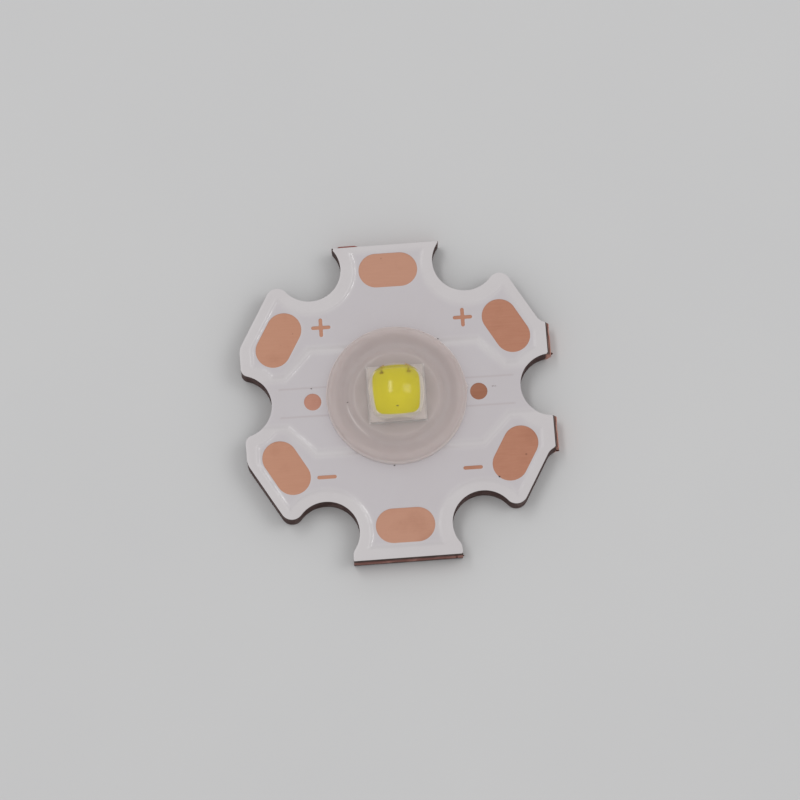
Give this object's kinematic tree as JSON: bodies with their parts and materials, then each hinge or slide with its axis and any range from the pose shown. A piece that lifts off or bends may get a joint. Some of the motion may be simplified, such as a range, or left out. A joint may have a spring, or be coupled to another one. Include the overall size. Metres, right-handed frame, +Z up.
{
  "type": "high-power led",
  "caption": "High-power light-emitting diode with a domed ceramic package and centring ring, soldered to a hexagonal star board with a copper core.",
  "frame": {"origin": "on the underside of the board, below the middle of the emitter", "axes": "+Z up out of the board towards the emitter, +Y towards the positive solder pads"},
  "size_m": [0.0193, 0.02, 0.0042],
  "materials": {
    "core_copper": "routed and scored copper, dull pink-brown on the cut edges",
    "insulation": "dark filled resin",
    "foil_copper": "bare satin copper foil",
    "white_mask": "satin white lacquer",
    "solder": "bright solder",
    "gilt": "gold plating",
    "white_ceramic": "fired white ceramic",
    "chip": "polished chip",
    "phosphor": "yellow phosphor in silicone",
    "clear_silicone": "clear cast silicone",
    "milky_plastic": "milky translucent moulding"
  },
  "bodies": {
    "root": {"copper_base": "core_copper", "dielectric_layer": "insulation", "positive_trace": "foil_copper", "negative_trace": "foil_copper", "thermal_island": "foil_copper", "solder_mask": "white_mask", "anode_solder": "solder", "cathode_solder": "solder", "thermal_solder": "solder", "led_anode_pad": "gilt", "led_cathode_pad": "gilt", "led_thermal_pad": "gilt", "led_substrate": "white_ceramic", "anode_vias": "foil_copper", "cathode_links": "foil_copper", "wire_pads": "gilt", "die_attach": "solder", "led_die": "chip", "phosphor_layer": "phosphor", "bond_wires": "gilt", "dome_lens": "clear_silicone", "centring_ring": "milky_plastic"}
  },
  "joints": []
}
